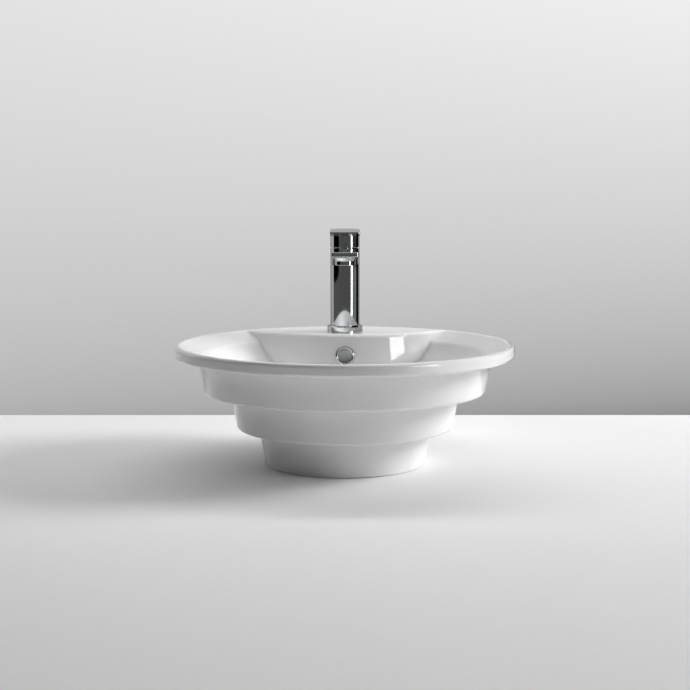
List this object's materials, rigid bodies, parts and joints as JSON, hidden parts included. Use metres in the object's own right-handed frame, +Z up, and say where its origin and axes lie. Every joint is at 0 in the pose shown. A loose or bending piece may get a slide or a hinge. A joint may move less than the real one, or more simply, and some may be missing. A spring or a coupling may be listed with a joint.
{
  "type": "countertop basin",
  "caption": "Round white countertop basin with a stepped outside and a dished rim, a rear ledge carrying a lever mixer tap, an overflow and a push waste.",
  "frame": {"origin": "centre of the foot on the counter", "axes": "+Z up, tap at +Y, front at -Y, +X to the right seen from the front"},
  "size_m": [0.46, 0.46, 0.3151],
  "materials": {
    "glazed_china": "glossy white glaze",
    "chrome": "polished",
    "brass": "machined",
    "steel": "plated",
    "rubber": "matte",
    "white_plastic": "matte",
    "grey_plastic": "matte",
    "alumina": "lapped",
    "index_plastic": "glossy"
  },
  "bodies": {
    "basin": {"basin_body": "glazed_china", "overflow_ring": "chrome", "waste_body": "chrome", "waste_flange_seal": "rubber", "waste_under_seal": "rubber", "waste_slip_ring": "white_plastic", "waste_back_nut": "brass", "click_cartridge": "brass", "tap_body": "chrome", "tap_base_ring": "chrome", "tap_base_seal": "rubber", "fixing_stud": "steel", "clamp_rubber": "rubber", "clamp_plate": "steel", "fixing_nut": "steel", "aerator_ring": "chrome", "aerator_insert": "grey_plastic", "aerator_washer": "rubber", "cartridge_base": "white_plastic", "cartridge_port_seals": "rubber", "cartridge_housing": "white_plastic", "fixed_disc": "alumina", "cartridge_nut": "brass", "cover_ring": "chrome"},
    "rotor": {"cartridge_rotor": "grey_plastic", "pivot_pin": "steel"},
    "lever": {"lever_handle": "chrome", "lever_stem": "brass", "lever_screw": "steel", "index_plug": "index_plastic"},
    "disc": {"moving_disc": "alumina", "disc_carrier": "grey_plastic"},
    "plug": {"waste_plug": "chrome", "plug_spindle": "steel", "plug_seal": "rubber"}
  },
  "joints": [
    {"name": "temperature_swivel", "type": "hinge", "parent": "basin", "child": "rotor", "pos_m": [0, 0.153, 0.28], "axis": [0, 0, 1], "range_deg": [-45, 45]},
    {"name": "lever_lift", "type": "hinge", "parent": "rotor", "child": "lever", "pos_m": [0, 0.153, 0.28], "axis": [-1, 0, 0], "range_deg": [0, 22]},
    {"name": "disc_slide", "type": "slide", "parent": "rotor", "child": "disc", "axis": [0, -1, 0], "range_m": [0, 0.005]},
    {"name": "plug_press", "type": "slide", "parent": "basin", "child": "plug", "axis": [0, 0, 1], "range_m": [-0.0092, 0], "stiffness_N_per_m": 400, "springref_m": 0.01}
  ],
  "couplings": [
    {"joint": "disc_slide", "follows": "lever_lift", "m_per_rad": 0.01297}
  ]
}
